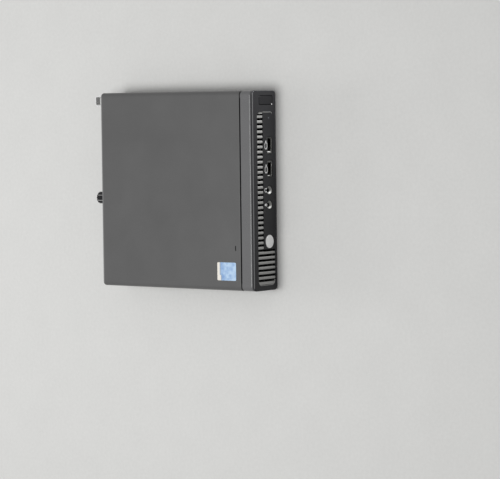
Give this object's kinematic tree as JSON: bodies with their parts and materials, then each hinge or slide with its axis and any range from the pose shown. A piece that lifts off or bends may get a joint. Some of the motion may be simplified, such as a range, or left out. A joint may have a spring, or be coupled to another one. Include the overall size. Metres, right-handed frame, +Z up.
{
  "type": "mini desktop computer",
  "caption": "Flat one-litre desktop computer with a sliding steel cover, louvred front panel with ports, press button, rear sockets, blower and drive.",
  "frame": {"origin": "on the surface the feet stand on, under the centre of the 100 mm mounting hole pattern", "axes": "+Z up through the cover, front panel faces -Y, +X on the right when looking at the front"},
  "size_m": [0.177, 0.1881, 0.034],
  "materials": {
    "case_paint": "fine-textured dark grey powder coat",
    "tray_paint": "fine-textured dark grey powder coat",
    "bezel_plastic": "finely grained black plastic",
    "grille_plastic": "painted silver-grey plastic",
    "button_plastic": "satin black plastic",
    "badge_metal": "plain satin disc",
    "light_plastic": "clear light pipe",
    "foot_rubber": "matt",
    "black_screw": "black oxide",
    "zinc_steel": "zinc plated",
    "bright_steel": "nickel plated",
    "connector_plastic": "moulded black",
    "vga_blue": "moulded blue",
    "board_laminate": "green solder mask",
    "chip_plastic": "moulded chip package",
    "nickel_lid": "nickel-plated copper lid",
    "sink_aluminium": "bare extruded aluminium",
    "drive_case": "cast and stamped aluminium"
  },
  "bodies": {
    "case": {"activity_light": "light_plastic", "antenna_cover": "bezel_plastic", "audio_jacks": "connector_plastic", "badge_disc": "badge_metal", "board_screws": "bright_steel", "board_standoffs": "zinc_steel", "capacitors": "sink_aluminium", "card_posts": "zinc_steel", "card_sockets": "connector_plastic", "chassis": "tray_paint", "chipset": "chip_plastic", "chipset_heatsink": "sink_aluminium", "coin_cell": "bright_steel", "coin_cell_holder": "connector_plastic", "display_shells": "bright_steel", "display_tongues": "connector_plastic", "drive_cage": "zinc_steel", "drive_connector": "connector_plastic", "fan_housing": "connector_plastic", "fan_motor": "connector_plastic", "front_bezel": "bezel_plastic", "front_rail": "case_paint", "front_usb_shells": "bright_steel", "front_usb_tongues": "connector_plastic", "heatsink_base": "sink_aluminium", "heatsink_fins": "sink_aluminium", "heatsink_screws": "bright_steel", "memory_modules": "board_laminate", "memory_sockets": "connector_plastic", "network_socket": "bright_steel", "padlock_loop": "zinc_steel", "port_panel": "bezel_plastic", "power_chokes": "connector_plastic", "power_inlet": "connector_plastic", "power_switch": "connector_plastic", "processor": "nickel_lid", "processor_socket": "connector_plastic", "rear_usb_shells": "bright_steel", "rear_usb_tongues": "connector_plastic", "rubber_feet": "foot_rubber", "speaker": "connector_plastic", "ssd_card": "board_laminate", "system_board": "board_laminate", "vent_grille": "grille_plastic", "vga_connector": "vga_blue", "vga_jackscrews": "bright_steel", "wireless_card": "board_laminate"},
    "access_panel": {"access_panel": "case_paint"},
    "screw_washer": {"thumbscrew_washer": "black_screw"},
    "thumbscrew": {"thumbscrew": "black_screw"},
    "power_button": {"power_button": "button_plastic"},
    "fan_rotor": {"fan_rotor": "connector_plastic"},
    "drive": {"storage_drive": "drive_case", "drive_pins": "bright_steel"}
  },
  "joints": [
    {"name": "access_panel_slide", "type": "slide", "parent": "case", "child": "access_panel", "axis": [0, 1, 0], "range_m": [0, 0.012]},
    {"name": "thumbscrew_travel", "type": "slide", "parent": "access_panel", "child": "screw_washer", "axis": [0, 1, 0], "range_m": [0, 0.0048]},
    {"name": "thumbscrew_turn", "type": "hinge", "parent": "screw_washer", "child": "thumbscrew", "pos_m": [-0.0078, 0.0889, 0.0255], "axis": [0, 1, 0], "range_deg": [0, 2160]},
    {"name": "power_button_press", "type": "slide", "parent": "case", "child": "power_button", "axis": [0, 1, 0], "range_m": [0, 0.0008], "stiffness_N_per_m": 800, "springref_m": -0.001},
    {"name": "fan_spin", "type": "hinge", "parent": "case", "child": "fan_rotor", "pos_m": [-0.056, 0.006, 0.02], "axis": [0, 0, 1], "continuous": true},
    {"name": "drive_slide", "type": "slide", "parent": "case", "child": "drive", "axis": [0, -1, 0], "range_m": [0, 0.008]}
  ],
  "couplings": [
    {"joint": "thumbscrew_travel", "follows": "thumbscrew_turn", "m_per_rad": 0.0001264}
  ]
}
